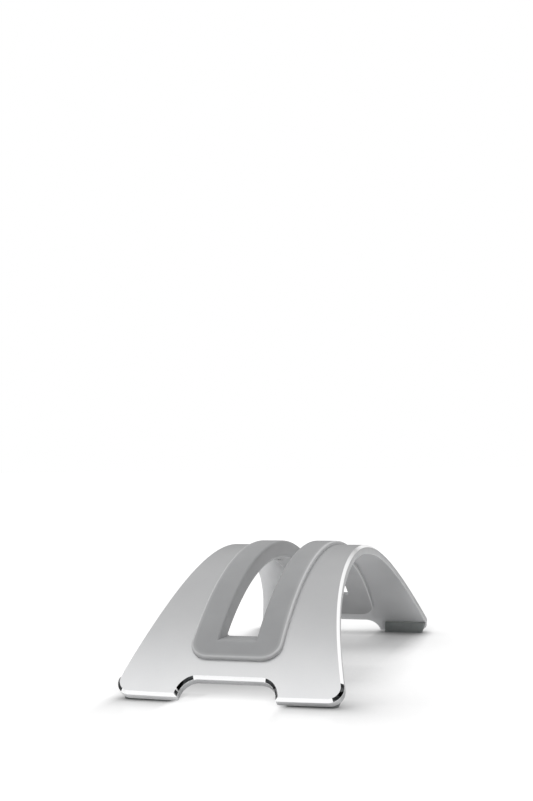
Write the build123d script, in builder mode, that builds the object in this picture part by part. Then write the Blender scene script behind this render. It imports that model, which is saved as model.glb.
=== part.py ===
from build123d import *
from math import cos, hypot, radians, sin, tan
import os

# Upright stand for a closed laptop: one bent aluminium arch with a soft liner
# in a long slot, a clamping frame under the slot and four wedge pads.
# Millimetres. +X is the stand's width, +Y its span from foot to foot, +Z up.
# The origin is the centre of the stand on the desk. Left is -X, front is -Y.
# Names ending in _w are half widths across the sheet (X). Names ending in _s are
# half lengths or places along the bent sheet, measured from the crown.

# ---- arch ------------------------------------------------------------------
arch_r = 134.8             # outer (top) radius of the arch
crown_z = 53.0             # height of the arch's outer surface at the crown
sheet_t = 4.1              # sheet thickness
foot_s = 119.45            # foot edge, before it is bowed
crown_w = 32.2             # half width at the crown
foot_w = 46.55             # half width at the foot edge, before its corners are rounded
flare = 1.51               # share of the flare that grows with the square of the slope
corner_length = 7.0        # how far the foot's corner curve reaches along the sheet
corner_width = 7.2         # how far it reaches across the sheet
corner_handle = 3.8        # length of the corner curve's two handles
foot_bow = 0.5             # how far the foot edge bows outwards at the centre
top_chamfer = 1.15         # polished chamfer round the outer surface
low_chamfer = 0.45         # edge break round the inner surface

notch_w = 19.5             # cable notch at its mouth
notch_s = 111.8            # notch's inner edge
notch_r = 6.9              # corner radius of the cable notch

slot_w, slot_s, slot_r = 12.0, 94.0, 4.0   # slot in the sheet and its corner radius

# ---- liner -----------------------------------------------------------------
flange_w, flange_s, flange_r = 18.6, 103.4, 7.8    # flange and its corner radius
flange_t = 1.8             # how far the flange stands above the sheet
flange_round = 1.0         # rounding of its top edge
channel_w = 7.7            # channel that holds the laptop
channel_cut_length = 240.0     # cutter that passes both ends of the liner
channel_cut_high = 60.0
seat_z = 22.2              # height of the two end seats that carry the laptop's edge
slot_fit = 0.1             # side clearance between liner and slot
wall_overlap = 0.5         # how far the liner's wall runs up into the flange
lip_reach = 1.6            # how far the lip hooks under the sheet, beyond the slot
lip_w, lip_s, lip_r = slot_w + lip_reach, slot_s + lip_reach, slot_r + 1.4
lip_t = 1.0

# ---- clamping frame --------------------------------------------------------
frame_w, frame_s, frame_r = 18.8, 105.0, 7.5
frame_t = 1.8
frame_gap = 0.04           # gap between the sheet and the frame
frame_round = 0.7          # rounding of its lower outer edge
opening_w, opening_s, opening_r = 8.0, 86.4, 2.5
pocket_fit = 0.15          # side clearance of the recess round the liner's lip
pocket_r = slot_r + 1.45
pocket_floor_gap = 0.03    # clearance between the lip and the floor of the recess

# ---- screws, M2 countersunk ------------------------------------------------
side_screw_x = 15.9        # side screws, distance from the middle
side_screw_s = 31.0
end_screw_s = 99.4         # end screws, on the centre line
screw_length = 4.0
screw_r = 0.98
screw_head_r = 1.9
head_sunk = 0.08           # how far the head lies below the frame's surface
head_rim = 0.08            # straight rim above the 45 degree cone
screw_tip_chamfer = 0.25
socket_r = 0.65            # hex socket, half the distance across flats
socket_depth = 0.75
tap_r = 1.0
tap_depth = 2.9
frame_hole_r = 1.15
frame_hole_depth = 4
countersink_r = screw_head_r + 0.25

# ---- wedge pads and adhesive films -----------------------------------------
pad_x0, pad_x1 = 23.0, 42.4    # pad from beside the notch to the outer corner, at the desk
pad_y0, pad_y1 = 96.6, 101.0   # pad's inner and outer faces
pad_lean = 0.42                # the pad's outer end leans outwards by this much per height
pad_high = 6.5                 # height of the block the pad is trimmed from
pad_end_r = 2.1                # outermost corner at the desk
pad_notch_r = 0.8              # the two corners beside the notch
pad_base_round = 0.35          # edge on the desk
# height, radius of the outer end's corner towards the middle, radius of its outermost corner
pad_sections = ((0, 1.2, pad_end_r), (pad_high, 0.8, 3.2))
film_t = 0.25                  # adhesive film between pad and sheet
film_inset = 0.3               # film's edge inside the pad's edge
film_block_high = 9            # height of the block the film is trimmed from

# ---- derived ---------------------------------------------------------------
axis_z = crown_z - arch_r                      # height of the bend's axis
inner_r = arch_r - sheet_t
foot_angle = foot_s / arch_r
frame_top_r = inner_r - frame_gap
frame_low_r = frame_top_r - frame_t
lip_low_r = frame_top_r - lip_t

# ---- construction ----------------------------------------------------------
arc_handle = 0.5523        # quarter-arc handle length for a radius of 1
sketch_levels = (76.0, 146.0)  # two levels above the bend's axis, below and above every layer
band_half_angle = radians(57)  # section of a layer, wider than any outline
arch_reach = 60            # half width of an uncut section, for the arch and the pads
insert_reach = 30          # the same for liner and frame

os.makedirs("parts", exist_ok=True)


# An outline is given as (x, s): across the sheet, and along it from the crown.
# Every wall through the sheet points at the bend's axis, as in a blank that is
# cut flat and then bent. Such a wall runs between two level sketches whose
# lengths grow with their height above that axis.
def at(level, x, s):
    return (x, level * tan(s / arch_r))


def half_width(s):
    slope = tan(s / arch_r) / tan(foot_angle)
    return crown_w + (foot_w - crown_w) * (flare * slope**2 + (1 - flare) * slope**4)


def foot_edge(x):
    return foot_s + foot_bow * (1 - (x / foot_w) ** 2)


corner_s = foot_s - corner_length      # where the long side meets the corner curve
corner_x = foot_w - corner_width       # where the corner curve meets the foot edge

# The long side is an even quartic drawn as a Bezier curve.
# Columns: y as a share of the curve's end, control value of y**2, of y**4.
side_controls = (
    (-1, 1, 1),
    (-0.5, 0, -1),
    (0, -1 / 3, 1),
    (0.5, 0, -1),
    (1, 1, 1),
)


def side_curve(level):
    """Control points of the +X side, from -Y to +Y."""
    end_slope = tan(corner_s / arch_r) / tan(foot_angle)
    end_y = level * tan(corner_s / arch_r)
    return [
        (crown_w + (foot_w - crown_w)
         * (flare * end_slope**2 * square + (1 - flare) * end_slope**4 * fourth),
         end_y * share)
        for share, square, fourth in side_controls
    ]


def foot_curves(level, side_x, side_y):
    """Corner, foot edge and notch corner of one quarter, from the side to the notch."""
    step = 0.01
    side_slope = (half_width(corner_s + step) - half_width(corner_s - step)) / (2 * step)
    unit = hypot(side_slope, 1)
    edge_slope = -2 * foot_bow * corner_x / foot_w**2
    side_x_end = half_width(corner_s)
    edge_s = foot_edge(corner_x)
    mid_x = (corner_x + notch_w) / 2
    mouth_s = foot_edge(notch_w)
    corner = [
        (side_x_end, corner_s),
        (side_x_end + corner_handle * side_slope / unit, corner_s + corner_handle / unit),
        (corner_x + corner_handle, edge_s + corner_handle * edge_slope),
        (corner_x, edge_s),
    ]
    edge = [
        (corner_x, edge_s),
        (mid_x, edge_s + edge_slope * (mid_x - corner_x)),
        (notch_w, mouth_s),
    ]
    notch = [
        (notch_w, mouth_s),
        (notch_w, mouth_s - arc_handle * (mouth_s - notch_s)),
        (notch_w - notch_r * (1 - arc_handle), notch_s),
        (notch_w - notch_r, notch_s),
    ]
    return [[at(level, side_x * x, side_y * s) for x, s in curve]
            for curve in (corner, edge, notch)]


def blank_outline(level):
    """Outline of the whole sheet, drawn into the open BuildLine."""
    side = side_curve(level)
    for sign in (1, -1):
        # one long side, then the foot it leads to; the second pass is turned half round
        Bezier(*[(sign * x, sign * y) for x, y in side])
        for curve in foot_curves(level, sign, sign):
            Bezier(*curve)
        notch_x = sign * (notch_w - notch_r)
        Line(at(level, notch_x, sign * notch_s), at(level, -notch_x, sign * notch_s))
        for curve in reversed(foot_curves(level, -sign, sign)):
            Bezier(*reversed(curve))


def long_outline(level, w, s, r):
    """Rounded rectangle, 2w wide and 2s long along the sheet."""
    def corner(side_x, side_y):
        inset = r * (1 - arc_handle)
        points = [(w, s - r), (w, s - inset), (w - inset, s), (w - r, s)]
        return [at(level, side_x * x, side_y * y) for x, y in points]
    Line(at(level, w, -(s - r)), at(level, w, s - r))
    Bezier(*corner(1, 1))
    Line(at(level, w - r, s), at(level, -(w - r), s))
    Bezier(*reversed(corner(-1, 1)))
    Line(at(level, -w, s - r), at(level, -w, -(s - r)))
    Bezier(*corner(-1, -1))
    Line(at(level, -(w - r), -s), at(level, w - r, -s))
    Bezier(*reversed(corner(1, -1)))


def ring_point(r, angle):
    return (r * sin(angle), axis_z + r * cos(angle))


def band(r_in, r_out):
    """Section of a bent layer between two radii, drawn on the Y-Z plane."""
    end = band_half_angle
    ThreePointArc(ring_point(r_out, -end), ring_point(r_out, 0), ring_point(r_out, end))
    Line(ring_point(r_out, end), ring_point(r_in, end))
    ThreePointArc(ring_point(r_in, end), ring_point(r_in, 0), ring_point(r_in, -end))
    Line(ring_point(r_in, -end), ring_point(r_out, -end))


def bent_layer(r_in, r_out, w, s, r):
    """Bent plate between two radii, with a rounded rectangle as its outline."""
    with BuildPart() as layer:
        with BuildSketch(Plane.YZ):
            with BuildLine():
                band(r_in, r_out)
            make_face()
        extrude(amount=insert_reach, both=True)
        for level in sketch_levels:
            with BuildSketch(Plane.XY.offset(axis_z + level)):
                with BuildLine():
                    long_outline(level, w, s, r)
                make_face()
        loft(ruled=True, mode=Mode.INTERSECT)
    return layer.part


def under_plane(r, x, s):
    """Plane on the surface of radius r, facing the bend's axis (downwards)."""
    angle = s / arch_r
    y, z = ring_point(r, angle)
    return Plane(origin=(x, y, z), x_dir=(1, 0, 0), z_dir=(0, -sin(angle), -cos(angle)))


def save(builder, name):
    builder.part.label = name
    export_step(builder.part, f"parts/{name}.step")


screw_places = [(x, s) for x in (-side_screw_x, side_screw_x)
                for s in (-side_screw_s, side_screw_s)]
screw_places += [(0, -end_screw_s), (0, end_screw_s)]

# ---- arch body -------------------------------------------------------------
with BuildPart() as arch_body:
    with BuildSketch(Plane.YZ):
        with BuildLine():
            band(inner_r, arch_r)
        make_face()
    extrude(amount=arch_reach, both=True)
    for level in sketch_levels:
        with BuildSketch(Plane.XY.offset(axis_z + level)):
            with BuildLine():
                blank_outline(level)
            make_face()
    loft(ruled=True, mode=Mode.INTERSECT)
    # chamfers come before the slot, so that they only run round the outline
    outer = max(arch_body.faces().filter_by(GeomType.CYLINDER), key=lambda f: f.area)
    chamfer(outer.edges(), top_chamfer)
    inner = min(arch_body.faces().filter_by(GeomType.CYLINDER),
                key=lambda f: abs(f.center().Z - (axis_z + inner_r)))
    chamfer(inner.edges(), low_chamfer)
    # slot for the liner
    for level in sketch_levels:
        with BuildSketch(Plane.XY.offset(axis_z + level)):
            with BuildLine():
                long_outline(level, slot_w, slot_s, slot_r)
            make_face()
    loft(ruled=True, mode=Mode.SUBTRACT)
    # tapped holes from below
    for x, s in screw_places:
        with Locations(under_plane(inner_r, x, s)):
            Hole(radius=tap_r, depth=tap_depth)
save(arch_body, "arch_body")

# ---- soft liner: flange above the sheet, wall in the slot, lip under the sheet ----
liner_flange = bent_layer(arch_r, arch_r + flange_t, flange_w, flange_s, flange_r)
liner_wall = bent_layer(lip_low_r, arch_r + wall_overlap,
                        slot_w - slot_fit, slot_s - slot_fit, slot_r)
liner_lip = bent_layer(lip_low_r, frame_top_r, lip_w, lip_s, lip_r)
with BuildPart() as insert_liner:
    add(liner_flange)
    top_face = max(insert_liner.faces().filter_by(GeomType.CYLINDER),
                   key=lambda f: f.center().Z)
    fillet(top_face.edges(), flange_round)
    add(liner_wall)
    add(liner_lip)
    # channel for the laptop, open above the seats; both ends stay solid below them
    with BuildSketch(Plane.XY.offset(seat_z)):
        Rectangle(2 * channel_w, channel_cut_length)
    extrude(amount=channel_cut_high, mode=Mode.SUBTRACT)
save(insert_liner, "insert_liner")

# ---- clamping frame under the sheet ----------------------------------------
frame_plate = bent_layer(frame_low_r, frame_top_r, frame_w, frame_s, frame_r)
# recess that takes the liner's lip; the cutter stands 1 mm above the sheet's inner surface
frame_pocket = bent_layer(lip_low_r - pocket_floor_gap, inner_r + 1,
                          lip_w + pocket_fit, lip_s + pocket_fit, pocket_r)
with BuildPart() as insert_frame:
    add(frame_plate)
    low_face = min(insert_frame.faces().filter_by(GeomType.CYLINDER),
                   key=lambda f: f.center().Z)
    fillet(low_face.edges(), frame_round)
    for level in sketch_levels:
        with BuildSketch(Plane.XY.offset(axis_z + level)):
            with BuildLine():
                long_outline(level, opening_w, opening_s, opening_r)
            make_face()
    loft(ruled=True, mode=Mode.SUBTRACT)
    add(frame_pocket, mode=Mode.SUBTRACT)
    for x, s in screw_places:
        with Locations(under_plane(frame_low_r, x, s)):
            CounterSinkHole(radius=frame_hole_r, counter_sink_radius=countersink_r,
                            depth=frame_hole_depth, counter_sink_angle=90)
save(insert_frame, "insert_frame")

# ---- countersunk screws ----------------------------------------------------
# One screw points down -Z, with the frame's surface at z = 0.
rim_z = -head_sunk - head_rim
cone_height = screw_head_r - screw_r
with BuildPart() as one_screw:
    with BuildSketch(Plane.XZ):
        with BuildLine():
            Polyline((0, -head_sunk), (screw_head_r, -head_sunk), (screw_head_r, rim_z),
                     (screw_r, rim_z - cone_height),
                     (screw_r, -screw_length + screw_tip_chamfer),
                     (screw_r - screw_tip_chamfer, -screw_length),
                     (0, -screw_length), close=True)
        make_face()
    revolve(axis=Axis.Z)
    with BuildSketch(Plane.XY.offset(-head_sunk)):
        RegularPolygon(radius=socket_r, side_count=6, major_radius=False)
    extrude(amount=-socket_depth, mode=Mode.SUBTRACT)
with BuildPart() as insert_screws:
    for x, s in screw_places:
        with Locations(under_plane(frame_low_r, x, s)):
            add(one_screw.part)
save(insert_screws, "insert_screws")


# ---- wedge pads and their adhesive films -----------------------------------
def pad_corners(side_x, side_y, inset=0, lean=0):
    """Corners of a pad seen from above, the two beside the notch first."""
    x0, x1 = side_x * (pad_x0 + inset), side_x * (pad_x1 - inset + lean)
    y0, y1 = side_y * (pad_y0 + inset), side_y * (pad_y1 - inset)
    return [(x0, y1), (x0, y0), (x1, y0), (x1, y1)]


def make_pad(side_x, side_y):
    """Block with a leaning outer end, trimmed to the arch's inner surface."""
    with BuildPart() as foot_pad:
        for height, middle_corner_r, outer_corner_r in pad_sections:
            with BuildSketch(Plane.XY.offset(height)):
                with BuildLine():
                    Polyline(*pad_corners(side_x, side_y, lean=pad_lean * height), close=True)
                make_face()
                outer_end = vertices().sort_by(lambda v: abs(v.X))[2:]
                fillet(min(outer_end, key=lambda v: abs(v.Y)), middle_corner_r)
                fillet(vertices().sort_by(lambda v: abs(v.X) + abs(v.Y))[-1], outer_corner_r)
                fillet(vertices().sort_by(lambda v: abs(v.X))[:2], pad_notch_r)
        loft(ruled=True)
        with BuildSketch(Plane.YZ):
            with Locations((0, axis_z)):
                Circle(inner_r - film_t)
        extrude(amount=arch_reach, both=True, mode=Mode.INTERSECT)
        fillet(foot_pad.faces().sort_by(Axis.Z)[0].edges(), pad_base_round)
    return foot_pad


def make_film(side_x, side_y):
    """Thin bent layer between a pad and the sheet."""
    with BuildPart() as pad_film:
        with BuildSketch(Plane.XY):
            with BuildLine():
                Polyline(*pad_corners(side_x, side_y, inset=film_inset), close=True)
            make_face()
            fillet(vertices().sort_by(lambda v: abs(v.X))[2:], pad_end_r - film_inset)
        extrude(amount=film_block_high)
        with BuildSketch(Plane.YZ):
            with BuildLine():
                band(inner_r - film_t, inner_r)
            make_face()
        extrude(amount=arch_reach, both=True, mode=Mode.INTERSECT)
    return pad_film


for side_x, name_x in ((-1, "left"), (1, "right")):
    for side_y, name_y in ((-1, "front"), (1, "rear")):
        save(make_pad(side_x, side_y), f"foot_pad_{name_y}_{name_x}")
        save(make_film(side_x, side_y), f"pad_adhesive_{name_y}_{name_x}")
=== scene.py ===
"""An arched stand: a bent aluminium sheet with a slot along its crown, a silicone liner in the
slot, a clamping frame screwed on beneath it and four wedge pads under its feet.

The arch spans Y, with its bend's axis along X. The origin is on the floor under the crown,
Z is up, the front is -Y and the right is +X. Most shapes are drawn on the flat blank, as x
across and s along the sheet from the crown, and are then wrapped round the bend's axis.
"""
import bpy
import bmesh
import math
from mathutils import Matrix, Vector, geometry, kdtree

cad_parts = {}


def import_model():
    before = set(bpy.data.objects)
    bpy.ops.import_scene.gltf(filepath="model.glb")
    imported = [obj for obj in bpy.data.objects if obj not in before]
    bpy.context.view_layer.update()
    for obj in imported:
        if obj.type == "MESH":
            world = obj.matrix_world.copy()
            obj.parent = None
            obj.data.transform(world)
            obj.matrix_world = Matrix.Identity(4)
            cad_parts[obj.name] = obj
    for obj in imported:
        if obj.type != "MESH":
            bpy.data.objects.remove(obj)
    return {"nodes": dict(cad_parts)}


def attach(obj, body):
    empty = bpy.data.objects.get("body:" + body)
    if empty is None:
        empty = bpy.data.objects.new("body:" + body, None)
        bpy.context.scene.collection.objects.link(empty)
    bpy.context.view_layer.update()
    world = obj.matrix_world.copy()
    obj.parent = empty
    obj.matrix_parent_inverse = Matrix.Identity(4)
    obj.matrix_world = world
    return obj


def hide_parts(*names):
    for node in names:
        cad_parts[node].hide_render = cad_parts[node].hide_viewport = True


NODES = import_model()["nodes"]
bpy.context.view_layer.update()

# ---- driving sizes, in millimetres ------------------------------------------------------
MM = 0.001
BEND_R, CROWN_Z, SHEET = 134.8, 53.0, 4.1  # outer bend radius, crown height, sheet thickness
AXIS_Z = CROWN_Z - BEND_R
INNER_R = BEND_R - SHEET
UNDER_R = INNER_R - 0.04  # top of the parts that lie under the sheet
SCREWS = [(x, s) for x in (-15.9, 15.9) for s in (-31.0, 31.0)] + [(0, -99.4), (0, 99.4)]


def place(x, s, radius):
    """A point x across, s along the sheet from the crown, radius from the bend's axis."""
    angle = s / BEND_R
    return (x * MM, radius * math.sin(angle) * MM, (AXIS_Z + radius * math.cos(angle)) * MM)


def steps(first, last, count):
    return [first + (last - first) * i / count for i in range(count + 1)]


def quarter_turn(count):
    return steps(0, math.pi / 2, count)


def new_object(name, data):
    obj = bpy.data.objects.new(name, data)
    bpy.context.scene.collection.objects.link(obj)
    return obj


def register(obj, cad_name):
    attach(obj, "root")
    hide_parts(cad_name)


# ---- mesh builder -----------------------------------------------------------------------
CDT_OUTPUT = 2  # face output kind of delaunay_2d_cdt
CDT_EPSILON = 1e-7
ROW_SHIFT = 1e-5  # keeps the fill's rows off the outline's own points
CLEARANCE = 0.55  # least gap from inner points to the outline, in steps


def crossing(p, q, y):
    """The x where the edge from p to q crosses the level y, or None."""
    if (p.y > y) == (q.y > y):
        return None
    return p.x + (y - p.y) / (q.y - p.y) * (q.x - p.x)


def inner_points(points, edges, step):
    """Rows of points about a step apart, inside the outlines and clear of them."""
    tree = kdtree.KDTree(len(points))
    for i, p in enumerate(points):
        tree.insert((p.x, p.y, 0), i)
    tree.balance()
    low, high = min(p.y for p in points), max(p.y for p in points)
    inner = []
    rows = int((high - low) / step)
    for row in range(1, rows + 1):
        y = low + (high - low) * (row - 0.5) / rows + ROW_SHIFT
        cuts = [crossing(points[i], points[j], y) for i, j in edges]
        cuts = sorted(cut for cut in cuts if cut is not None)
        for left, right in zip(cuts[0::2], cuts[1::2]):
            count = int((right - left) / step)
            for k in range(1, count):
                x = left + (right - left) * k / count
                if tree.find((x, y, 0))[2] > CLEARANCE * step:
                    inner.append(Vector((x, y)))
    return inner


class Shell:
    """A mesh made of rings, bridges between them and filled surfaces."""

    def __init__(self):
        self.points, self.faces, self.slots, self.uvs, self.rims = [], [], [], [], {}

    def ring(self, points, rim=0.0):
        """Adds a ring of points. rim marks points on a rounded edge, for the material's painted
        edge highlight.
        """
        start = len(self.points)
        self.points.extend(points)
        ring = list(range(start, len(self.points)))
        if rim:
            self.rims.update((i, rim) for i in ring)
        return ring

    def wrap(self, flat, radius, rim=0.0):
        """Adds a flat outline as a ring at a radius from the bend's axis."""
        return self.ring([place(x, s, radius) for x, s in flat], rim)

    def bridge(self, a, b, slot=0, v_a=0.0, v_b=0.001):
        """Joins two rings with quads. U runs along ring a, V from v_a to v_b."""
        count = len(a)
        arc, total = [0.0], 0.0
        for i in range(count):
            p, q = Vector(self.points[a[i]]), Vector(self.points[a[(i + 1) % count]])
            total += (q - p).length
            arc.append(total)
        for i in range(count):
            j = (i + 1) % count
            self.faces.append((a[i], a[j], b[j], b[i]))
            self.slots.append(slot)
            self.uvs.append(((arc[i], v_a), (arc[i + 1], v_a), (arc[i + 1], v_b), (arc[i], v_b)))

    def loft(self, stations, slot=0):
        """Wraps and bridges a chain of stations, each an outline, its radius and maybe a rim,
        the strength of a painted edge highlight.

        Returns the first and the last loop, each as (ring, flat outline).
        """
        loops = []
        for flat, *where in stations:
            loops.append((self.wrap(flat, *where), flat))
            if len(loops) > 1:
                self.bridge(loops[-2][0], loops[-1][0], slot)
        return loops[0], loops[-1]

    def cap(self, ring, centre, slot):
        tip = self.ring([centre])[0]
        count = len(ring)
        for i in range(count):
            self.faces.append((ring[i], ring[(i + 1) % count], tip))
            self.slots.append(slot)
            self.uvs.append(((0, 0), (0.001, 0), (0, 0.001)))

    def fill(self, loops, lift, step):
        """Fills between loops of (ring, flat outline). lift maps a flat point into space."""
        points, ids, edges = [], [], []
        for ring, flat in loops:
            start, count = len(points), len(flat)
            points.extend(Vector((p[0], p[1])) for p in flat)
            ids.extend(ring)
            edges.extend((start + i, start + (i + 1) % count) for i in range(count))
        inner = inner_points(points, edges, step)
        out, _, faces, source, _, _ = geometry.delaunay_2d_cdt(
            points + inner, edges, [], CDT_OUTPUT, CDT_EPSILON)
        index = []
        for p, sources in zip(out, source):
            known = [ids[k] for k in sources if k < len(ids)]
            index.append(known[0] if known else self.ring([lift(p.x, p.y)])[0])
        # edges sorted by whole y, to find the faces whose middle lies inside the outlines
        bins = {}
        for i, j in edges:
            p, q = points[i], points[j]
            for row in range(math.floor(min(p.y, q.y)), math.floor(max(p.y, q.y)) + 1):
                bins.setdefault(row, []).append((p, q))
        for face in faces:
            x = sum(out[k].x for k in face) / len(face)
            y = sum(out[k].y for k in face) / len(face)
            inside = False
            for p, q in bins.get(math.floor(y), []):
                cut = crossing(p, q, y)
                if cut is not None and x < cut:
                    inside = not inside
            if inside:
                self.faces.append(tuple(index[k] for k in face))
                self.slots.append(0)
                self.uvs.append(tuple((out[k].x * MM, out[k].y * MM) for k in face))

    def build(self, name, materials, sharp):
        """Makes the object. Edges steeper than sharp degrees stay sharp."""
        mesh = bpy.data.meshes.new(name)
        mesh.from_pydata(self.points, [], self.faces)
        for material in materials:
            mesh.materials.append(material)
        # the rim attribute carries the painted edge highlight
        if self.rims:
            marks = mesh.attributes.new("rim", "FLOAT", "POINT")
            for i, value in self.rims.items():
                marks.data[i].value = value
        layer = mesh.uv_layers.new(name="surface")
        for polygon, slot, uv in zip(mesh.polygons, self.slots, self.uvs):
            polygon.material_index = slot
            for loop, pair in zip(polygon.loop_indices, uv):
                layer.data[loop].uv = pair
        bm = bmesh.new()
        bm.from_mesh(mesh)
        bmesh.ops.recalc_face_normals(bm, faces=bm.faces)
        bm.to_mesh(mesh)
        bm.free()
        mesh.shade_smooth()
        mesh.set_sharp_from_angle(angle=math.radians(sharp))
        return new_object(name, mesh)


# ---- flat outlines shared by the pieces -------------------------------------------------
LONG_N, SHORT_N, ROUND_N = 96, 10, 9  # segments along, across and round the corners


def rounded(half_x, half_s, radius, inset=0.0):
    """Rounded rectangle, 2 half_x wide and 2 half_s long, moved inwards by inset."""
    half_x, half_s, radius = half_x - inset, half_s - inset, max(radius - inset, 0.05)
    mid_x, mid_s = half_x - radius, half_s - radius
    arc = [(radius * math.cos(a), radius * math.sin(a)) for a in quarter_turn(ROUND_N)[1:-1]]
    loop = [(half_x, s) for s in steps(-mid_s, mid_s, LONG_N)]
    loop += [(mid_x + u, mid_s + v) for u, v in arc]
    loop += [(x, half_s) for x in steps(mid_x, -mid_x, SHORT_N)]
    loop += [(-mid_x - v, mid_s + u) for u, v in arc]
    loop += [(-half_x, s) for s in steps(mid_s, -mid_s, LONG_N)]
    loop += [(-mid_x - u, -mid_s - v) for u, v in arc]
    loop += [(x, -half_s) for x in steps(-mid_x, mid_x, SHORT_N)]
    loop += [(mid_x + v, -mid_s - u) for u, v in arc]
    return loop


def rectangle(half_x, half_s):
    """Square-cornered rectangle, 2 half_x wide and 2 half_s long."""
    loop = [(half_x, s) for s in steps(-half_s, half_s, LONG_N)]
    loop += [(x, half_s) for x in steps(half_x, -half_x, SHORT_N)[1:-1]]
    loop += [(-half_x, s) for s in steps(half_s, -half_s, LONG_N)]
    loop += [(x, -half_s) for x in steps(-half_x, half_x, SHORT_N)[1:-1]]
    return loop


def circle(x, s, hole_radius, radius, count=28):
    """Outline that is a circle once wrapped at radius from the bend's axis."""
    turns = [2 * math.pi * i / count for i in range(count)]
    return [(x + hole_radius * math.cos(a), s + hole_radius * BEND_R / radius * math.sin(a))
            for a in turns]


# ---- shader graphs ----------------------------------------------------------------------
class Signal:
    """An output socket that can be used in arithmetic; each operation adds a Math node."""

    def __init__(self, graph, socket):
        self.graph, self.socket = graph, socket

    def __add__(self, other):
        return self.graph.math("ADD", self, other)

    def __sub__(self, other):
        return self.graph.math("SUBTRACT", self, other)

    def __rsub__(self, other):
        return self.graph.math("SUBTRACT", other, self)

    def __mul__(self, other):
        return self.graph.math("MULTIPLY", self, other)

    def __pow__(self, other):
        return self.graph.math("POWER", self, other)

    def maximum(self, other):
        return self.graph.math("MAXIMUM", self, other)

    def less_than(self, other):
        return self.graph.math("LESS_THAN", self, other)

    def absolute(self):
        return self.graph.math("ABSOLUTE", self)

    def ramp(self, first=0.0, last=1.0, start=0.3, stop=0.7, kind="LINEAR"):
        """Goes from first, where the signal is start, to last, where it is stop."""
        inputs = {"From Min": start, "From Max": stop, "To Min": first, "To Max": last,
                  "Value": self}
        return self.graph.add("ShaderNodeMapRange", "Result", inputs, interpolation_type=kind)

    def rises(self, start, stop, low=0.0, high=1.0):
        return self.ramp(low, high, start, stop)

    def falls(self, start, stop, high=1.0, low=0.0):
        return self.ramp(high, low, start, stop)


class Graph:
    """The node tree of a material or world, emptied and given an output node."""

    def __init__(self, owner, output_kind="ShaderNodeOutputMaterial"):
        self.owner = owner
        owner.use_nodes = True
        self.tree = owner.node_tree
        self.tree.nodes.clear()
        self.output = self.tree.nodes.new(output_kind)

    def feed(self, socket, value):
        if isinstance(value, Signal):
            self.tree.links.new(value.socket, socket)
        elif socket.type == "RGBA":
            socket.default_value = (*value, 1)
        else:
            socket.default_value = value

    def add(self, kind, outputs, inputs=None, **properties):
        """Adds a node. Returns the output asked for, or a list of them for a tuple."""
        node = self.tree.nodes.new(kind)
        for key, value in properties.items():
            setattr(node, key, value)
        for key, value in (inputs or {}).items():
            self.feed(node.inputs[key], value)
        if isinstance(outputs, tuple):
            return [Signal(self, node.outputs[key]) for key in outputs]
        return Signal(self, node.outputs[outputs])

    def math(self, operation, *values):
        return self.add("ShaderNodeMath", 0, dict(enumerate(values)), operation=operation)

    def split(self, vector):
        return self.add("ShaderNodeSeparateXYZ", ("X", "Y", "Z"), {0: vector})

    def coords(self, kind="Object", scale=(1, 1, 1)):
        vector = self.add("ShaderNodeTexCoord", kind)
        return self.add("ShaderNodeMapping", "Vector", {"Scale": scale, "Vector": vector})

    def noise(self, vector, scale, detail=3.0, roughness=0.55):
        return self.add("ShaderNodeTexNoise", "Fac", {
            "Scale": scale, "Detail": detail, "Roughness": roughness, "Vector": vector})

    def mix(self, factor, low, high):
        """Colour from low to high by a 0..1 factor."""
        return self.add("ShaderNodeMix", "Result", {"Factor": factor, "A": low, "B": high},
                        data_type="RGBA")

    def attribute(self, name):
        return self.add("ShaderNodeAttribute", "Fac", attribute_name=name)

    def bump(self, height, distance, strength, under=None):
        """Bump normal, on top of the normal under if one is given."""
        inputs = {"Distance": distance, "Strength": strength, "Height": height}
        if under is not None:
            inputs["Normal"] = under
        return self.add("ShaderNodeBump", "Normal", inputs)

    def finish(self, shader):
        self.feed(self.output.inputs["Surface"], shader)
        return self.owner

    def principled(self, inputs):
        return self.add("ShaderNodeBsdfPrincipled", 0, inputs)


# ---- materials (lengths in metres) ------------------------------------------------------
WHITE = (1, 1, 1)


def blasted_aluminium():
    graph = Graph(bpy.data.materials.new("aluminium_blasted"))
    vector = graph.coords()
    cloud = graph.noise(vector, scale=38, detail=4)
    grain = graph.noise(vector, scale=3600, detail=2, roughness=0.6)
    pits = graph.noise(vector, scale=1500, detail=3, roughness=0.6)
    blend = cloud * 0.5 + grain * 0.5
    pitted = graph.bump(pits, distance=0.00002, strength=0.10)
    return graph.finish(graph.principled({
        "Base Color": graph.mix(blend.ramp(start=0.35, stop=0.65),
                                (0.765, 0.770, 0.778), (0.815, 0.818, 0.822)),
        "Roughness": grain.ramp(first=0.33, last=0.45),
        "Metallic": 1.0,
        "Normal": graph.bump(grain, distance=0.00001, strength=0.14, under=pitted)}))


def mirrored_ray(graph):
    """X, Y and Z of the direction the surface mirrors towards the viewer."""
    incoming, normal = graph.add("ShaderNodeNewGeometry", ("Incoming", "Normal"))
    view = graph.add("ShaderNodeVectorMath", 0, {"Scale": -1.0, 0: incoming}, operation="SCALE")
    return graph.split(
        graph.add("ShaderNodeVectorMath", 0, {0: view, 1: normal}, operation="REFLECT"))


def mirror_cut(graph, lines, look):
    """Polished metal with fine cutting lines. look holds its colour and any glow."""
    return graph.finish(graph.principled({
        **look,
        "Metallic": 1.0,
        "Roughness": lines.ramp(first=0.06, last=0.12),
        "Normal": graph.bump(lines, distance=0.000004, strength=0.10)}))


def cutting_lines(graph):
    vector = graph.coords("UV", scale=(60, 9000, 1))
    return graph.noise(vector, scale=1.0, detail=2, roughness=0.5)


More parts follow.
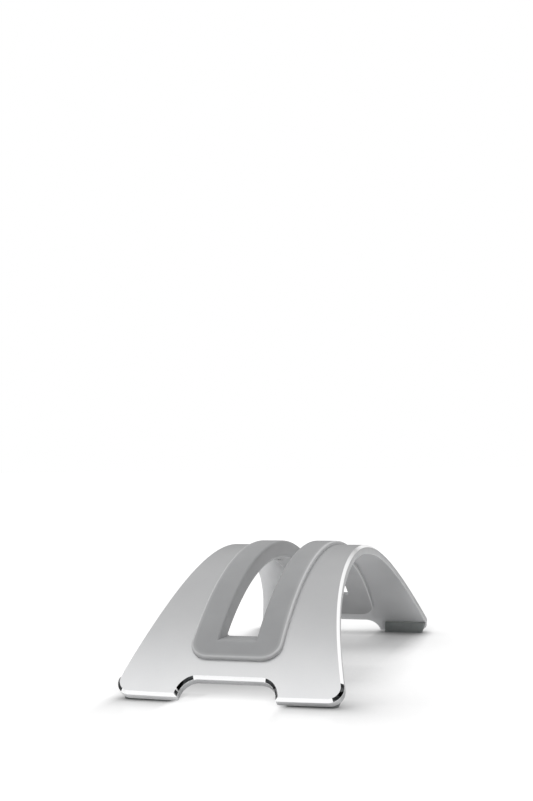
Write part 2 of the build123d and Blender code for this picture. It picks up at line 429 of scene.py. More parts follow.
def polished_aluminium():
    """Chamfer with a painted highlight: it glows where it mirrors the side, to the front, or the
    rear.
    """
    graph = Graph(bpy.data.materials.new("aluminium_polished"))
    lines = cutting_lines(graph)
    x, y, _ = mirrored_ray(graph)
    colour = graph.mix(lines.ramp(), (0.925, 0.927, 0.930), (0.945, 0.946, 0.948))
    away = y.ramp(start=-0.5, stop=0.0)
    # painted highlight: glint and crest are emission that whitens the chamfer where it mirrors
    # the sides and the rear
    glint = x.absolute().ramp(first=0.05, last=0.50, start=0.10, stop=0.30) * away
    crest = y.ramp(last=0.62, start=0.935, stop=0.975)
    return mirror_cut(graph, lines, {
        "Base Color": colour,
        "Emission Color": WHITE,
        "Emission Strength": glint.maximum(crest)})


def dark_reflection_aluminium(name, low, high):
    """Chamfer with a painted dark reflection, streaked from low to high, except where it mirrors
    what is overhead.
    """
    graph = Graph(bpy.data.materials.new(name))
    lines = cutting_lines(graph)
    _, _, z = mirrored_ray(graph)
    lit = z.ramp(start=0.66, stop=0.74)
    streak = graph.noise(graph.coords("UV", scale=(260, 1400, 1)), scale=1.0, detail=2)
    # painted reflection: the dark colour stands in for a dark surrounding mirrored in the
    # chamfer
    dark = graph.mix(streak.ramp(start=0.45, stop=0.7), low, high)
    return mirror_cut(graph, lines, {"Base Color": graph.mix(lit, dark, (0.93, 0.932, 0.935))})


def cut_aluminium():
    graph = Graph(bpy.data.materials.new("aluminium_cut_edge"))
    vector = graph.coords("UV", scale=(90, 7000, 1))
    lines = graph.noise(vector, scale=1.0, detail=3, roughness=0.55)
    cloud = graph.noise(graph.coords(), scale=120, detail=3)
    return graph.finish(graph.principled({
        "Base Color": graph.mix(cloud.ramp(), (0.60, 0.605, 0.61), (0.67, 0.672, 0.676)),
        "Metallic": 1.0,
        "Roughness": lines.ramp(first=0.42, last=0.54),
        # painted light: a faint even glow lifts the whole cut edge
        "Emission Color": WHITE,
        "Emission Strength": 0.03,
        "Normal": graph.bump(lines, distance=0.000008, strength=0.18)}))


def edge_highlight_mix(graph, body, edge):
    """Painted highlight: rounded edges of a soft or moulded piece are painted lighter than its
    faces.
    """
    return graph.mix(graph.attribute("rim"), body, edge)


def silicone():
    graph = Graph(bpy.data.materials.new("silicone_grey"))
    vector = graph.coords()
    cloud = graph.noise(vector, scale=55, detail=4)
    fine = graph.noise(vector, scale=2600, detail=3, roughness=0.6)
    dust = graph.noise(vector, scale=900, detail=2, roughness=0.5)
    body = graph.mix(cloud.ramp(), (0.272, 0.275, 0.280), (0.306, 0.309, 0.314))
    dusty = graph.bump(dust, distance=0.00004, strength=0.06)
    return graph.finish(graph.principled({
        # painted highlight: rounded edges lighter than the faces
        "Base Color": edge_highlight_mix(graph, body, (0.60, 0.603, 0.608)),
        "Roughness": fine.ramp(first=0.46, last=0.60),
        "IOR": 1.42,
        "Sheen Weight": 0.45,
        "Sheen Roughness": 0.45,
        "Normal": graph.bump(fine, distance=0.000015, strength=0.16, under=dusty)}))


def moulded_plastic():
    graph = Graph(bpy.data.materials.new("plastic_textured"))
    vector = graph.coords()
    cells = graph.add("ShaderNodeTexVoronoi", "Distance", {"Scale": 2200, "Vector": vector})
    cloud = graph.noise(vector, scale=70, detail=3)
    body = graph.mix(cloud.ramp(), (0.47, 0.473, 0.478), (0.51, 0.513, 0.518))
    return graph.finish(graph.principled({
        # painted highlight: rounded edges lighter than the faces
        "Base Color": edge_highlight_mix(graph, body, (0.72, 0.722, 0.726)),
        "Roughness": cells.ramp(first=0.42, last=0.58, start=0.1, stop=0.7),
        "Normal": graph.bump(cells, distance=0.00002, strength=0.35)}))


def pad_rubber():
    graph = Graph(bpy.data.materials.new("rubber_dark"))
    vector = graph.coords()
    fine = graph.noise(vector, scale=3000, detail=3, roughness=0.65)
    cloud = graph.noise(vector, scale=160, detail=3)
    body = graph.mix(cloud.ramp(), (0.240, 0.258, 0.254), (0.285, 0.304, 0.300))
    # painted shade: darker near the floor and slightly darker to the rear
    _, y, z = graph.split(graph.coords())
    light = z.rises(0.0, 0.005, low=0.62) * y.falls(-0.05, 0.05, low=0.88)
    return graph.finish(graph.principled({
        "Base Color": graph.mix(light, (0.04, 0.043, 0.042), body),
        "Roughness": fine.ramp(first=0.70, last=0.90),
        "Sheen Weight": 0.25,
        "Normal": graph.bump(fine, distance=0.00003, strength=0.35)}))


def turned_steel():
    graph = Graph(bpy.data.materials.new("steel_turned"))
    from_axis = graph.add("ShaderNodeCombineXYZ", "Vector", {0: graph.attribute("from_axis")})
    lines = graph.noise(from_axis, scale=16000, detail=2, roughness=0.6)
    fine = graph.noise(graph.coords(), scale=2500, detail=2)
    return graph.finish(graph.principled({
        "Base Color": graph.mix(fine.ramp(), (0.50, 0.50, 0.505), (0.58, 0.58, 0.585)),
        "Metallic": 1.0,
        "Roughness": lines.ramp(first=0.18, last=0.36),
        "Normal": graph.bump(lines, distance=0.00001, strength=0.3)}))


def acrylic_film():
    graph = Graph(bpy.data.materials.new("acrylic_film"))
    cloud = graph.noise(graph.coords(), scale=600, detail=3)
    return graph.finish(graph.principled({
        "Base Color": graph.mix(cloud.ramp(), (0.55, 0.55, 0.53), (0.64, 0.64, 0.61)),
        "Roughness": cloud.ramp(first=0.25, last=0.45),
        "Subsurface Weight": 0.3,
        "Subsurface Radius": (0.0004, 0.0004, 0.0004),
        "Normal": graph.bump(cloud, distance=0.00003, strength=0.2)}))


BLASTED = blasted_aluminium()
CUT = cut_aluminium()
POLISHED = polished_aluminium()
# chamfers with painted reflections: dark at the corners, grey along part of the right notch
CORNER = dark_reflection_aluminium("aluminium_dark_reflection_corner",
                            low=(0.022, 0.024, 0.025), high=(0.125, 0.129, 0.130))
HALF = dark_reflection_aluminium("aluminium_grey_reflection",
                          low=(0.27, 0.272, 0.275), high=(0.42, 0.422, 0.425))
SILICONE = silicone()
PLASTIC = moulded_plastic()
RUBBER = pad_rubber()
STEEL = turned_steel()
FILM = acrylic_film()

# ---- arch: bent sheet with a polished chamfer, cut edge, slot and blind screw holes -----
FOOT_S, FOOT_BOW = 119.45, 0.5  # the foot's edge at the sides, and its extra reach mid-foot
CROWN_HALF, FOOT_HALF = 32.2, 46.55  # half widths at the crown and the feet
FLARE = 1.51  # share of the square term in the widening; the fourth power has the rest
CORNER_BACK, CORNER_IN = 7.0, 7.2  # where the foot's corner starts, along and across
CORNER_HANDLE = 3.8
NOTCH_HALF, NOTCH_S, NOTCH_ROUND = 19.5, 111.8, 6.9  # notch in each foot's edge
TIP_ROUND = 0.7  # where the notch meets the foot's edge
ARC_HANDLE = 0.5523  # Bezier handle of a quarter circle, in radii
SLOT = (12.0, 94.0, 4.0)  # half width, half length, corner radius
SLOT_BEVEL = 0.25
HOLE_R, HOLE_DEPTH, HOLE_TIP = 1.0, 2.6, 2.9  # blind holes: radius, depth of wall and of tip

# segments of a quarter outline, from the middle of a long side to the middle of a notch
FLANK_N, CORNER_N, EDGE_N, TIP_N, NOTCH_N, NOTCH_FLAT_N = 58, 18, 12, 6, 18, 7
NOTCH_START = FLANK_N + CORNER_N + EDGE_N + TIP_N

# material slots of the arch; slot 3 repeats the polish and holds no faces
ARCH_MATERIALS = [BLASTED, POLISHED, CUT, POLISHED, CORNER, HALF]
CHAMFER_SLOT, CUT_SLOT, CORNER_SLOT, HALF_SLOT = 1, 2, 4, 5

# inset from the outline, depth below the outer surface, material of the band that ends here
EDGE_PROFILE = [
    (1.15, 0.0, None),
    (0.06, 1.09, CHAMFER_SLOT),
    (0.02, 1.15, CHAMFER_SLOT),
    (0.0, 1.22, CUT_SLOT),
    (0.0, 2.4, CUT_SLOT),
    (0.0, SHEET - 0.17, CUT_SLOT),
    (0.02, SHEET - 0.13, CUT_SLOT),
    (0.13, SHEET - 0.02, CUT_SLOT),
    (0.17, SHEET, CUT_SLOT),
]
# runs of the chamfer with painted dark or grey reflections, keyed by side (1 is right): start,
# end, material.
# Corner runs go from 0 at the side to 1 at the foot's edge, notch runs from 0 at the tip.
CORNER_RUNS = {1: ((-0.06, 0.80, CORNER_SLOT),), -1: ((0.0, 0.66, CORNER_SLOT),)}
NOTCH_RUNS = {
    1: ((0.0, 0.10, CORNER_SLOT), (0.10, 0.31, HALF_SLOT), (0.31, 0.84, CORNER_SLOT)),
    -1: ((0.0, 0.11, CORNER_SLOT), (0.17, 0.81, CORNER_SLOT)),
}


def half_width(s):
    q = math.tan(s / BEND_R) / math.tan(FOOT_S / BEND_R)
    return CROWN_HALF + (FOOT_HALF - CROWN_HALF) * (FLARE * q ** 2 + (1 - FLARE) * q ** 4)


def flank_slope(s):
    return (half_width(s + 0.01) - half_width(s - 0.01)) / 0.02


def foot_edge(x):
    return FOOT_S + FOOT_BOW * (1 - (x / FOOT_HALF) ** 2)


def foot_slope(x):
    return -2 * FOOT_BOW * x / FOOT_HALF ** 2


def bezier(handles, t):
    """Point and direction of a cubic Bezier curve at t, as (x, s, dx, ds)."""
    u = 1 - t
    weights = (u ** 3, 3 * u * u * t, 3 * u * t * t, t ** 3)
    rates = (-3 * u * u, 3 * u * u - 6 * u * t, 6 * u * t - 3 * t * t, 3 * t * t)
    return tuple(sum(w * p[axis] for w, p in zip(factors, handles))
                 for factors in (weights, rates) for axis in (0, 1))


def moved_inwards(track, inset):
    """Moves points of (x, s, dx, ds) to the left of their direction."""
    out = []
    for x, s, dx, ds in track:
        length = math.hypot(dx, ds)
        out.append((x - inset * ds / length, s + inset * dx / length))
    return out


def arch_outline(inset):
    """Outline of the blank, moved inwards by inset, always with the same number of points."""
    corner_s, corner_x = FOOT_S - CORNER_BACK, FOOT_HALF - CORNER_IN
    slope = flank_slope(corner_s)
    length = math.hypot(slope, 1)
    track = [(half_width(s), s, flank_slope(s), 1.0)
             for s in steps(0, corner_s - 1.0, FLANK_N - 1) + [corner_s]]
    corner = [
        (half_width(corner_s), corner_s),
        (half_width(corner_s) + CORNER_HANDLE * slope / length,
         corner_s + CORNER_HANDLE / length),
        (corner_x + CORNER_HANDLE, foot_edge(corner_x) + CORNER_HANDLE * foot_slope(corner_x)),
        (corner_x, foot_edge(corner_x)),
    ]
    track += [bezier(corner, t) for t in steps(0, 1, CORNER_N)[1:]]
    tip = max(TIP_ROUND - inset, 0.08)
    reach = inset + tip
    track += [(x, foot_edge(x), -1.0, -foot_slope(x))
              for x in steps(corner_x, NOTCH_HALF + reach, EDGE_N)[1:]]
    out = moved_inwards(track, inset)
    edge_s = foot_edge(NOTCH_HALF)
    for angle in steps(90, 180, TIP_N)[1:-1]:
        out.append((NOTCH_HALF + reach + tip * math.cos(math.radians(angle)),
                    edge_s - reach + tip * math.sin(math.radians(angle))))
    depth = edge_s - NOTCH_S
    notch = [
        (NOTCH_HALF, edge_s),
        (NOTCH_HALF, edge_s - ARC_HANDLE * depth),
        (NOTCH_HALF - NOTCH_ROUND * (1 - ARC_HANDLE), NOTCH_S),
        (NOTCH_HALF - NOTCH_ROUND, NOTCH_S),
    ]
    start = reach / (3 * ARC_HANDLE * depth)
    track = [bezier(notch, t) for t in steps(start, 1, NOTCH_N)]
    track += [(x, NOTCH_S, -1.0, 0.0)
              for x in steps(NOTCH_HALF - NOTCH_ROUND, 0, NOTCH_FLAT_N)[1:]]
    out += moved_inwards(track, inset)
    out[-1] = (0.0, out[-1][1])
    loop = list(out)
    loop += [(-x, s) for x, s in reversed(out[:-1])]
    loop += [(-x, -s) for x, s in out[1:]]
    loop += [(x, -s) for x, s in reversed(out[1:-1])]
    return loop


def paint_chamfer_reflections(shell, count):
    """Gives the runs of painted dark or grey reflection their materials. The chamfer is the
    shell's first count faces.
    """
    quarter = count // 4
    for i in range(count):
        turn, step = divmod(i, quarter)
        from_flank = step + 0.5 if turn % 2 == 0 else quarter - step - 0.5
        side = 1 if turn in (0, 3) else -1
        for at, runs in (((from_flank - FLANK_N) / CORNER_N, CORNER_RUNS),
                         ((from_flank - NOTCH_START) / NOTCH_N, NOTCH_RUNS)):
            for start, end, slot in runs[side]:
                if start <= at <= end:
                    shell.slots[i] = slot


def build_arch():
    shell = Shell()
    loops = []
    for inset, depth, slot in EDGE_PROFILE:
        flat = arch_outline(inset)
        ring = shell.wrap(flat, BEND_R - depth)
        across = (depth - inset) * MM
        if loops:
            shell.bridge(loops[-1][0], ring, slot, last_across, across)
        loops.append((ring, flat))
        last_across = across
    top, low = loops[0], loops[-1]
    paint_chamfer_reflections(shell, len(top[0]))
    slot_top, slot_low = shell.loft([
        (rounded(*SLOT, -SLOT_BEVEL), BEND_R),
        (rounded(*SLOT), BEND_R - SLOT_BEVEL),
        (rounded(*SLOT), BEND_R - (SHEET - SLOT_BEVEL)),
        (rounded(*SLOT, -SLOT_BEVEL), BEND_R - SHEET),
    ], CUT_SLOT)
    shell.fill([top, slot_top], lambda x, s: place(x, s, BEND_R), step=2.0)
    holes = []
    for x, s in SCREWS:
        flat = circle(x, s, HOLE_R, INNER_R)
        mouth, deep = shell.loft([(flat, INNER_R), (flat, INNER_R + HOLE_DEPTH)], CUT_SLOT)
        shell.cap(deep[0], place(x, s, INNER_R + HOLE_TIP), CUT_SLOT)
        holes.append(mouth)
    shell.fill([low, slot_low] + holes, lambda x, s: place(x, s, INNER_R), step=2.0)
    register(shell.build("arch_sheet", ARCH_MATERIALS, sharp=25), "arch_body")


# ---- soft liner: flange above the sheet, channel through it and lip below ---------------
FLANGE_R = BEND_R + 1.8
LIP_R = UNDER_R - 1.0
FLANGE_ROUND, CHANNEL_ROUND = 1.05, 0.9  # rounding of the upper edges
LIP_BEVEL, CHANNEL_BEVEL = 0.15, 0.25
# half width, half length, corner radius
FLANGE, NECK, LIP = (18.6, 103.4, 7.8), (11.9, 93.9, 4.0), (13.6, 95.6, 5.4)
# painted highlight: the lightness painted round the flange's upper edge
FLANGE_RIMS = (0.20, 0.70, 0.88, 0.80, 0.62, 0.50, 0.45)  # lightness round the upper edge
CHANNEL_HALF = 7.7
SEAT_RISE = 22.2 - AXIS_Z  # height of the channel's end seats above the bend's axis
SEAT_GAP = 0.12


def seat_s(radius):
    """Where the flat seats meet a radius."""
    return BEND_R * math.acos(SEAT_RISE / radius)


def build_liner():
    shell = Shell()
    stations = [(rounded(*FLANGE, 2 * FLANGE_ROUND), FLANGE_R)]
    for angle, rim in zip(quarter_turn(6), FLANGE_RIMS):
        stations.append((rounded(*FLANGE, FLANGE_ROUND * (1 - math.sin(angle))),
                         FLANGE_R - FLANGE_ROUND * (1 - math.cos(angle)), rim))
    # flange wall and underside, neck through the slot, lip; the wall rings carry a little
    # painted highlight
    stations += [
        (rounded(*FLANGE), BEND_R + 0.12, 0.4),
        (rounded(*FLANGE, 0.1), BEND_R + 0.01, 0.2),
        (rounded(*NECK, -0.3), BEND_R + 0.01),
        (rounded(*NECK), BEND_R - 0.3),
        (rounded(*NECK), UNDER_R),
        (rounded(*LIP, LIP_BEVEL), UNDER_R),
        (rounded(*LIP), INNER_R - 0.2),
        (rounded(*LIP), LIP_R + LIP_BEVEL),
        (rounded(*LIP, LIP_BEVEL), LIP_R),
    ]
    flange_top, lip = shell.loft(stations)

    stations = [(rectangle(CHANNEL_HALF + CHANNEL_BEVEL,
                           seat_s(LIP_R) - CHANNEL_BEVEL + SEAT_GAP), LIP_R)]
    for radius in (LIP_R + CHANNEL_BEVEL, 131.2, 132.7, 134.2, FLANGE_R - CHANNEL_ROUND):
        stations.append((rectangle(CHANNEL_HALF, seat_s(radius) + SEAT_GAP), radius))
    for angle in quarter_turn(5)[1:]:
        radius = FLANGE_R - CHANNEL_ROUND * (1 - math.sin(angle))
        grow = CHANNEL_ROUND * (1 - math.cos(angle))
        flat = rectangle(CHANNEL_HALF + grow, seat_s(radius) + SEAT_GAP + 0.7 * grow)
        stations.append((flat, radius))
    channel_low, channel_top = shell.loft(stations)

    shell.fill([flange_top, channel_top], lambda x, s: place(x, s, FLANGE_R), step=1.6)
    shell.fill([lip, channel_low], lambda x, s: place(x, s, LIP_R), step=2.0)
    register(shell.build("liner_silicone", [SILICONE], sharp=40), "insert_liner")


# ---- clamping frame under the sheet -----------------------------------------------------
CLAMP_LOW_R = UNDER_R - 1.8
POCKET_R = UNDER_R - 1.03  # floor of the pocket round the liner's lip
# half width, half length, corner radius
CLAMP, OPENING, POCKET = (18.8, 105.0, 7.5), (8.0, 86.4, 2.5), (13.75, 95.75, 5.45)
CLAMP_ROUND, OPENING_BEVEL = 0.65, 0.2
# painted highlight: the lightness painted round the frame's lower edge
CLAMP_RIMS = (0, 0.2, 0.7, 1.0, 0.8, 0)  # lightness round the lower edge
SINK_R, SINK_DEPTH, SCREW_HOLE_R = 2.15, 1.0, 1.15  # countersunk screw holes


def build_clamp():
    shell = Shell()
    stations = [(rounded(*CLAMP), UNDER_R)]
    for angle, rim in zip(quarter_turn(5), CLAMP_RIMS):
        stations.append((rounded(*CLAMP, CLAMP_ROUND * (1 - math.cos(angle))),
                         CLAMP_LOW_R + CLAMP_ROUND * (1 - math.sin(angle)), rim))
    top, low = shell.loft(stations)
    pocket, opening = shell.loft([
        (rounded(*POCKET), UNDER_R),
        (rounded(*POCKET), POCKET_R),
        (rounded(*OPENING), POCKET_R),
        (rounded(*OPENING), CLAMP_LOW_R + OPENING_BEVEL),
        (rounded(*OPENING, -OPENING_BEVEL), CLAMP_LOW_R),
    ])
    tops, lows = [top, pocket], [low, opening]
    for x, s in SCREWS:
        narrow = circle(x, s, SCREW_HOLE_R, CLAMP_LOW_R + SINK_DEPTH)
        hole_low, hole_top = shell.loft([
            (circle(x, s, SINK_R, CLAMP_LOW_R), CLAMP_LOW_R),
            (narrow, CLAMP_LOW_R + SINK_DEPTH),
            (narrow, UNDER_R),
        ])
        lows.append(hole_low)
        tops.append(hole_top)
    shell.fill(tops, lambda x, s: place(x, s, UNDER_R), step=2.5)
    shell.fill(lows, lambda x, s: place(x, s, CLAMP_LOW_R), step=1.8)
    register(shell.build("clamp_frame", [PLASTIC], sharp=40), "insert_frame")


# ---- screws: the CAD shapes, with the distance from each axis for the turning lines -----
def build_screws():
    mesh = NODES["insert_screws"].data.copy()
    mesh.name = "screws_turned"
    from_axis = mesh.attributes.new("from_axis", "FLOAT", "POINT")
    axes = [(Vector(place(x, s, INNER_R)),
             Vector((0, math.sin(s / BEND_R), math.cos(s / BEND_R)))) for x, s in SCREWS]
    for i, vertex in enumerate(mesh.vertices):
        offsets = [(vertex.co - point, direction) for point, direction in axes]
        from_axis.data[i].value = min(
            (offset - offset.dot(direction) * direction).length for offset, direction in offsets)
    screws = new_object("screws_turned", mesh)
    mesh.materials.clear()
    mesh.materials.append(STEEL)
    register(screws, "insert_screws")


# ---- wedge pads, drawn for the right rear foot and mirrored -----------------------------
PAD_X, PAD_Y = (23.0, 42.4), (96.6, 101.0)
PAD_TOP_R = INNER_R - 0.25
PAD_LEAN = 0.42  # outward lean of the outer end, per height
PAD_ROUND = 0.33  # rounding of the lower edge
PAD_UPPER_EDGE = ((0.0, 0.18), (0.05, 0.06), (0.18, 0.0))  # inset, drop below the top


def pad_loop(inset, z):
    """The pad's outline at height z, moved inwards by inset."""
    (x0, x1), (y0, y1) = PAD_X, PAD_Y
    x0, x1 = x0 + inset, x1 + PAD_LEAN * z - inset
    y0, y1 = y0 + inset, y1 - inset
    inner = max(0.8 - inset, 0.05)  # radius of the corners at the inner end
    near = max(1.2 - 0.06 * z - inset, 0.05)  # radius at the outer end, towards mid-arch
    far = 2.1 + 0.17 * z - inset  # radius at the outer end, away from mid-arch
    loop = [(x, y0) for x in steps(x0 + inner, x1 - near, 14)]
    loop += [(x1 - near + near * math.sin(a), y0 + near - near * math.cos(a))
             for a in quarter_turn(8)[1:]]
    loop += [(x1 - far + far * math.cos(a), y1 - far + far * math.sin(a))
             for a in quarter_turn(10)]
    loop += [(x, y1) for x in steps(x1 - far, x0 + inner, 14)[1:]]
    loop += [(x0 + inner - inner * math.sin(a), y1 - inner + inner * math.cos(a))
             for a in quarter_turn(5)[1:]]
    loop += [(x0, y) for y in steps(y1 - inner, y0 + inner, 4)[1:]]
    loop += [(x0 + inner - inner * math.cos(a), y0 + inner - inner * math.sin(a))
             for a in quarter_turn(5)[1:-1]]
    return loop


def pad_top(y):
    return AXIS_Z + math.sqrt(PAD_TOP_R ** 2 - y * y)


def pad_rim(inset, drop):
    """Outline where the pad meets the sheet. Repeats to settle, as lean depends on height."""
    loop = pad_loop(inset, 0)
    for _ in range(6):
        loop = [pad_loop(inset, pad_top(y) - drop)[i] for i, (_x, y) in enumerate(loop)]
    return loop


def build_pad(side_x, side_y, where):
    def spot(x, y, z):
        return (side_x * x * MM, side_y * y * MM, z * MM)

    stations = []  # flat outline and the height of each of its points
    for angle in quarter_turn(4):
        z = PAD_ROUND * (1 - math.cos(angle))
        flat = pad_loop(PAD_ROUND * (1 - math.sin(angle)), z)
        stations.append((flat, [z] * len(flat)))
    for inset, drop in PAD_UPPER_EDGE:
        flat = pad_rim(inset, drop)
        stations.append((flat, [pad_top(y) - drop for _, y in flat]))

    shell = Shell()
    before = None
    for flat, heights in stations:
        ring = shell.ring([spot(x, y, z) for (x, y), z in zip(flat, heights)])
        if before is None:
            shell.fill([(ring, flat)], lambda x, y: spot(x, y, 0), step=1.2)
        else:
            shell.bridge(before, ring)
        before = ring
    shell.fill([(ring, flat)], lambda x, y: spot(x, y, pad_top(y)), step=1.0)
    register(shell.build(f"pad_{where}", [RUBBER], sharp=50), f"foot_pad_{where}")
    film = NODES[f"pad_adhesive_{where}"]
    film.data.materials.clear()
    film.data.materials.append(FILM)


# ---- studio: pale floor, soft light (in metres) -----------------------------------------
def build_world():
    """Overhead light that falls off to the rear, over a dark front and side horizon."""
    world = bpy.data.worlds.new("studio")
    bpy.context.scene.world = world
    graph = Graph(world, "ShaderNodeOutputWorld")
    _, y, z = graph.split(graph.add("ShaderNodeTexCoord", "Generated"))

    def smooth(value, first, last, start, stop):
        return value.ramp(first, last, start, stop, kind="SMOOTHSTEP")

    overhead = smooth(y, first=1.24, last=0.57, start=-0.55, stop=0.20)
    level = overhead * smooth(z, first=0.42, last=1.0, start=0.02, stop=0.65)
    front = smooth(y, first=1.0, last=0.0, start=0.15, stop=0.55)
    band = front * smooth(z, first=1.0, last=0.0, start=0.30, stop=0.38)
    level = level * (1.0 - band * 0.97)
    light = graph.add("ShaderNodeBackground", 0, {"Strength": level, "Color": WHITE})
    white = graph.add("ShaderNodeBackground", 0, {"Strength": 1.0, "Color": WHITE})
    camera_ray = graph.add("ShaderNodeLightPath", "Is Camera Ray")
    graph.finish(graph.add("ShaderNodeMixShader", 0, {0: camera_ray, 1: light, 2: white}))


FLOOR_HALF = 12.0
SETTLE = 0.0003  # the soft pads settle this much under the stand's weight
# the second colour is the painted shade the floor shows in reflections
FLOOR_PALE, FLOOR_SHADED_IN_REFLECTIONS = (0.86, 0.86, 0.862), (0.42, 0.42, 0.422)
FLOOR_TO_CAMERA = (0.10, 0.10, 0.101)
PADS_X, PADS_Y = (0.0228, 0.0462), (0.0960, 0.1012)  # ground covered by the pads


def painted_floor_shadows(graph, x, y, wide_x, wide_y, front_end):
    """Painted brightness of the ground: painted contact shadows, a painted soft one round the
    pads and a painted wide one.
    """
    def occlusion(distance):
        return graph.add("ShaderNodeAmbientOcclusion", "AO", {"Distance": distance}, samples=5)

    # painted soft shadow that fades with the distance from the pads
    side_gap = (wide_x - PADS_X[1]).maximum(PADS_X[0] - wide_x).maximum(0.0)
    end_gap = (wide_y - PADS_Y[1]).maximum(PADS_Y[0] - wide_y).maximum(0.0)
    gap = graph.math("SQRT", side_gap ** 2.0 + end_gap ** 2.0)
    soft = 1.0 - graph.math("EXPONENT", gap * -56.0) * 0.43

    # painted wide shadow under the arch, deeper between the front legs and under the middle,
    # and held open towards the front end
    open_end = (y * -1.0).rises(0.052, 0.094, low=0.22) * y.less_than(-0.052)
    under = wide_x.falls(0.020, 0.040) * front_end.rises(0.035, 0.060)
    beside = front_end.falls(0.045, 0.070) * front_end.rises(-0.020, 0.015)
    beside = beside * wide_x.falls(0.036, 0.056)
    under = 1.0 - (under * 0.45).maximum(beside * 0.22)
    wide = open_end.maximum(occlusion(0.075).rises(0.15, 0.95, low=0.48) * under)

    # painted contact shadow from occlusion; the front notch is painted lighter, where light
    # falls in
    notch_open = wide_x.falls(0.013, 0.019) * y.less_than(-0.04)
    tight = (occlusion(0.013) ** 0.75).maximum(notch_open)

    # the painted shadows almost vanish left of the feet, and weaken right of the rear foot
    # and in the mouth of the front notch
    left = x.rises(-0.0510, -0.0438, low=0.04)
    right = x.rises(0.042, 0.048, high=0.75) * y.rises(0.05, 0.08)
    mouth = wide_x.falls(0.0200, 0.0238, high=0.85) * front_end.rises(0.080, 0.095)
    hold = left * (1.0 - right.maximum(mouth))
    tight = 1.0 - (1.0 - tight) * hold
    soft = 1.0 - (1.0 - soft) * hold

    # painted shade: the ground between the legs darkens towards the rear foot, except in the
    # rear notch
    between = wide_x.falls(0.038, 0.050) * y.rises(-0.005, 0.050)
    through = wide_x.falls(0.015, 0.029) * y.rises(0.040, 0.085)
    past = y.falls(0.097, 0.103)
    between = between * past * (1.0 - through)
    between = 1.0 - between * 0.45
    rear_open = y.rises(0.060, 0.105, low=0.30, high=0.95) * wide_x.falls(0.018, 0.024)
    wide = (wide * between).maximum(rear_open)
    return tight * (wide * soft)


def floor_material():
    """The camera sees a glowing white sweep with painted shadows; reflections see a paler floor
    with painted grey shade in places.
    """
    graph = Graph(bpy.data.materials.new("floor_white"))
    camera_ray, glossy_ray = graph.add("ShaderNodeLightPath",
                                       ("Is Camera Ray", "Is Glossy Ray"))
    position = graph.add("ShaderNodeNewGeometry", "Position")
    distance = graph.add("ShaderNodeVectorMath", "Value", {0: position}, operation="LENGTH")
    x, y, _ = graph.split(position)
    wide_x, wide_y = x.absolute(), y.absolute()
    front_end = y * -1.0

    shade = painted_floor_shadows(graph, x, y, wide_x, wide_y, front_end)
    # the floor glows for the camera, dimmed by the painted shadows
    seen = camera_ray * (shade * distance.rises(0.1, 0.6, low=0.93))
    # painted light: in reflections the floor glows a little in front of and behind the feet,
    # which keeps their cut edges readable
    reflected_glow = wide_y.rises(0.0985, 0.1015) * x.falls(-0.02, 0.03, high=0.24, low=0.05)
    reflected_glow = reflected_glow.maximum(wide_y.rises(0.1035, 0.1080, high=0.31))
    strength = seen + glossy_ray * reflected_glow

    # painted shade: in reflections the floor is darker far off, ahead of the arch and by its
    # front corners
    far = glossy_ray * y.rises(0.12, 0.30)
    ahead = glossy_ray * front_end.rises(0.103, 0.108, high=0.34)
    right = x.rises(0.0455, 0.0500, high=0.95) * front_end.rises(0.080, 0.092)
    left = x.falls(-0.0500, -0.0455, high=0.6) * front_end.rises(0.080, 0.092)
    corner = glossy_ray * right.maximum(left)
    pale = graph.mix(corner.maximum(far.maximum(ahead)), FLOOR_PALE, FLOOR_SHADED_IN_REFLECTIONS)

    surface = graph.principled({
        "Base Color": graph.mix(camera_ray, pale, FLOOR_TO_CAMERA),
        "Roughness": 0.32,
        "IOR": 1.25})
    glow = graph.add("ShaderNodeEmission", 0, {"Strength": strength})
    return graph.finish(graph.add("ShaderNodeAddShader", 0, {0: surface, 1: glow}))


def build_floor():
    mesh = bpy.data.meshes.new("floor")
    corners = [(x * FLOOR_HALF, y * FLOOR_HALF, 0)
               for x, y in ((-1, -1), (1, -1), (1, 1), (-1, 1))]
    mesh.from_pydata(corners, [], [(0, 1, 2, 3)])
    floor = new_object("floor", mesh)
    floor.location.z = SETTLE
    mesh.materials.append(floor_material())


LIGHT_TARGET = Vector((0, 0, 0.02))


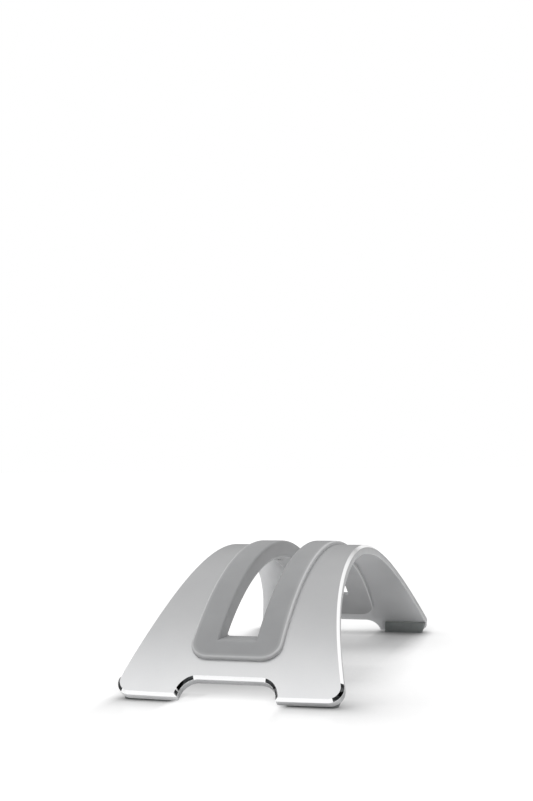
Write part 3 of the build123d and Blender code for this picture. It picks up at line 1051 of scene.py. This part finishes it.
def softbox(name, where, size, radiance):
    """Rectangular area light aimed at the stand and hidden from the camera."""
    data = bpy.data.lights.new(name, "AREA")
    data.shape = "RECTANGLE"
    data.size, data.size_y = size
    data.energy = radiance * size[0] * size[1] * math.pi
    light = new_object(name, data)
    light.location = where
    light.rotation_mode = "QUATERNION"
    light.rotation_quaternion = (Vector(where) - LIGHT_TARGET).to_track_quat("Z", "Y")
    light.visible_camera = False
    return light


def build_lights():
    fill = softbox("fill_top", where=(-0.1, 0.25, 1.9), size=(2.2, 2.2), radiance=1.1)
    fill.visible_glossy = False
    softbox("side_right", where=(1.5, 0.15, 1.15), size=(0.9, 1.3), radiance=0.6)
    softbox("rim_left", where=(-1.5, 0.95, 0.42), size=(0.9, 0.7), radiance=0.8)


# ---- camera -----------------------------------------------------------------------------
HEADING, PITCH, ROLL = 0.285748, 0.052044, -0.013709  # radians; heading turns left from +Y
CAMERA_AT = (0.144217, -0.533907, 0.091264)
SENSOR, LENS = 36, 53.48314607  # millimetres


def build_camera():
    data = bpy.data.cameras.new("camera")
    camera = new_object("camera", data)
    data.sensor_width = SENSOR
    data.lens = LENS
    data.clip_start, data.clip_end = 0.01, 50
    cos_h, sin_h = math.cos(HEADING), math.sin(HEADING)
    cos_p, sin_p = math.cos(PITCH), math.sin(PITCH)
    cos_r, sin_r = math.cos(ROLL), math.sin(ROLL)
    level_right = Vector((cos_h, sin_h, 0))
    level_up = Vector((sin_h * sin_p, -cos_h * sin_p, cos_p))
    ahead = Vector((-sin_h * cos_p, cos_h * cos_p, sin_p))
    right = level_right * cos_r + level_up * sin_r
    up = level_up * cos_r - level_right * sin_r
    matrix = Matrix((right, up, -ahead)).transposed().to_4x4()
    matrix.translation = Vector(CAMERA_AT)
    camera.matrix_world = matrix
    bpy.context.scene.camera = camera


build_arch()
build_liner()
build_clamp()
build_screws()
for side_x, name_x in ((-1, "left"), (1, "right")):
    for side_y, name_y in ((-1, "front"), (1, "rear")):
        build_pad(side_x, side_y, f"{name_y}_{name_x}")
build_world()
build_floor()
build_lights()
build_camera()
bpy.context.scene.view_settings.view_transform = "Standard"
